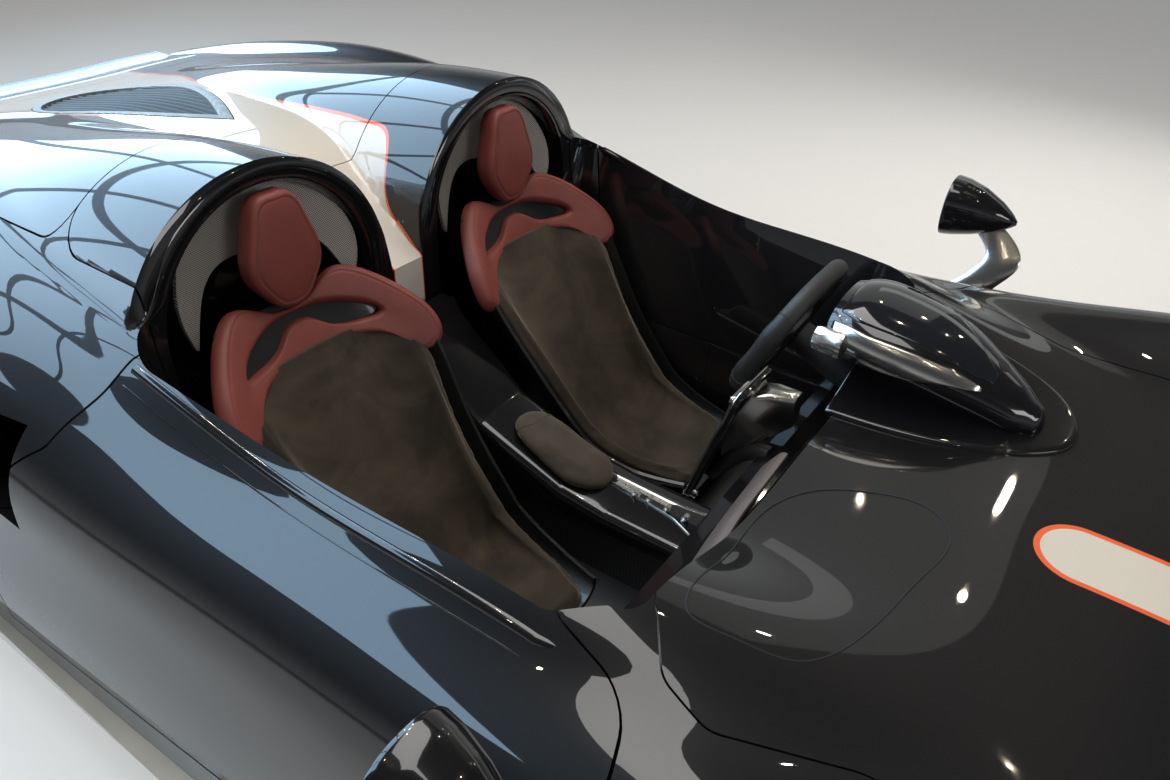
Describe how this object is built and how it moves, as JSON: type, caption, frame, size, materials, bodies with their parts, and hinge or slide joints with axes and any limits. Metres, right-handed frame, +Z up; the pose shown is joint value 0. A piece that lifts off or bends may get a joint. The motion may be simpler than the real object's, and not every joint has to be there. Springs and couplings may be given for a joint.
{
  "type": "open two-seat supercar",
  "caption": "Roofless mid-engined two-seat supercar with twin hoops behind the seats, upswinging doors and steered front wheels.",
  "frame": {"origin": "floor point under the middle of the car's bounding box", "axes": "+X is the car's left side, -Y its front, +Z up"},
  "size_m": [2.14, 4.611, 1.0882],
  "materials": {
    "carbon": "satin carbon composite",
    "paint": "gloss black paint with fine flake",
    "lamp_glass": "clear lens",
    "black_metal": "satin black",
    "tail_glass": "red lens",
    "exhaust_metal": "heat-tinted steel",
    "cream_paint": "gloss cream paint",
    "suede": "dark brown suede",
    "red_leather": "red leather with stitching",
    "mesh_panel": "perforated silver-cream panel",
    "black_gloss": "piano black",
    "silver_trim": "satin silver",
    "black_plastic": "matt black",
    "alloy": "machined alloy",
    "engine_metal": "cast alloy",
    "dark_leather": "dark grey leather",
    "tyre": "tyre rubber",
    "rim_metal": "gloss black forged alloy",
    "disc_metal": "ground disc face"
  },
  "bodies": {
    "chassis": {"tub": "carbon", "undertray": "carbon", "front_clamshell": "paint", "bonnet": "paint", "front_splitter": "carbon", "headlamps": "lamp_glass", "nose_mesh": "black_metal", "hoop_cowl": "paint", "rear_deck": "paint", "rear_clamshell": "paint", "engine_vent": "black_metal", "rear_wing": "carbon", "tail_lamps": "tail_glass", "rear_diffuser": "carbon", "exhaust_tips": "exhaust_metal", "side_skirts": "cream_paint", "seat_shells": "carbon", "seat_pads": "suede", "seat_collars": "red_leather", "headrests": "red_leather", "headrest_halos": "mesh_panel", "centre_console": "black_gloss", "armrest": "suede", "switch_panel": "silver_trim", "dash": "black_gloss", "instrument_pod": "black_gloss", "centre_display": "black_gloss", "steering_column": "black_plastic", "pedals": "alloy", "tow_boss": "alloy", "engine_block": "engine_metal", "front_suspension": "alloy", "rear_suspension": "alloy", "rear_uprights": "alloy"},
    "door_left": {"door_left": "paint", "mirror_left": "black_gloss"},
    "door_right": {"door_right": "paint", "mirror_right": "black_gloss"},
    "steering_wheel": {"steering_wheel": "dark_leather"},
    "knuckle_front_left": {"knuckle_front_left": "alloy"},
    "knuckle_front_right": {"knuckle_front_right": "alloy"},
    "wheel_front_left": {"tyre_front_left": "tyre", "rim_front_left": "rim_metal", "hub_front_left": "disc_metal"},
    "wheel_front_right": {"tyre_front_right": "tyre", "rim_front_right": "rim_metal", "hub_front_right": "disc_metal"},
    "wheel_rear_left": {"tyre_rear_left": "tyre", "rim_rear_left": "rim_metal", "hub_rear_left": "disc_metal"},
    "wheel_rear_right": {"tyre_rear_right": "tyre", "rim_rear_right": "rim_metal", "hub_rear_right": "disc_metal"}
  },
  "joints": [
    {"name": "door_left_hinge", "type": "hinge", "parent": "chassis", "child": "door_left", "pos_m": [0.8, -0.86, 0.62], "axis": [0.5736, 0, -0.8192], "range_deg": [0, 60]},
    {"name": "door_right_hinge", "type": "hinge", "parent": "chassis", "child": "door_right", "pos_m": [-0.8, -0.86, 0.62], "axis": [0.5736, 0, 0.8192], "range_deg": [0, 60]},
    {"name": "steer_left", "type": "hinge", "parent": "chassis", "child": "knuckle_front_left", "pos_m": [0.785, -1.195, 0.327], "axis": [-0.1043, 0.0694, 0.9921], "range_deg": [-30, 30]},
    {"name": "steer_right", "type": "hinge", "parent": "chassis", "child": "knuckle_front_right", "pos_m": [-0.785, -1.195, 0.327], "axis": [0.1043, 0.0694, 0.9921], "range_deg": [-30, 30]},
    {"name": "steering_wheel_turn", "type": "hinge", "parent": "chassis", "child": "steering_wheel", "pos_m": [0.355, -0.29, 0.7], "axis": [0, 0.9063, 0.4226], "range_deg": [-420, 420]},
    {"name": "wheel_front_left_spin", "type": "hinge", "parent": "knuckle_front_left", "child": "wheel_front_left", "pos_m": [0.825, -1.195, 0.327], "axis": [1, 0, 0], "continuous": true},
    {"name": "wheel_front_right_spin", "type": "hinge", "parent": "knuckle_front_right", "child": "wheel_front_right", "pos_m": [-0.825, -1.195, 0.327], "axis": [1, 0, 0], "continuous": true},
    {"name": "wheel_rear_left_spin", "type": "hinge", "parent": "chassis", "child": "wheel_rear_left", "pos_m": [0.8085, 1.475, 0.3455], "axis": [1, 0, 0], "continuous": true},
    {"name": "wheel_rear_right_spin", "type": "hinge", "parent": "chassis", "child": "wheel_rear_right", "pos_m": [-0.8085, 1.475, 0.3455], "axis": [1, 0, 0], "continuous": true}
  ],
  "couplings": [
    {"joint": "steer_right", "follows": "steer_left", "ratio": 1},
    {"joint": "steering_wheel_turn", "follows": "steer_left", "ratio": 14}
  ]
}
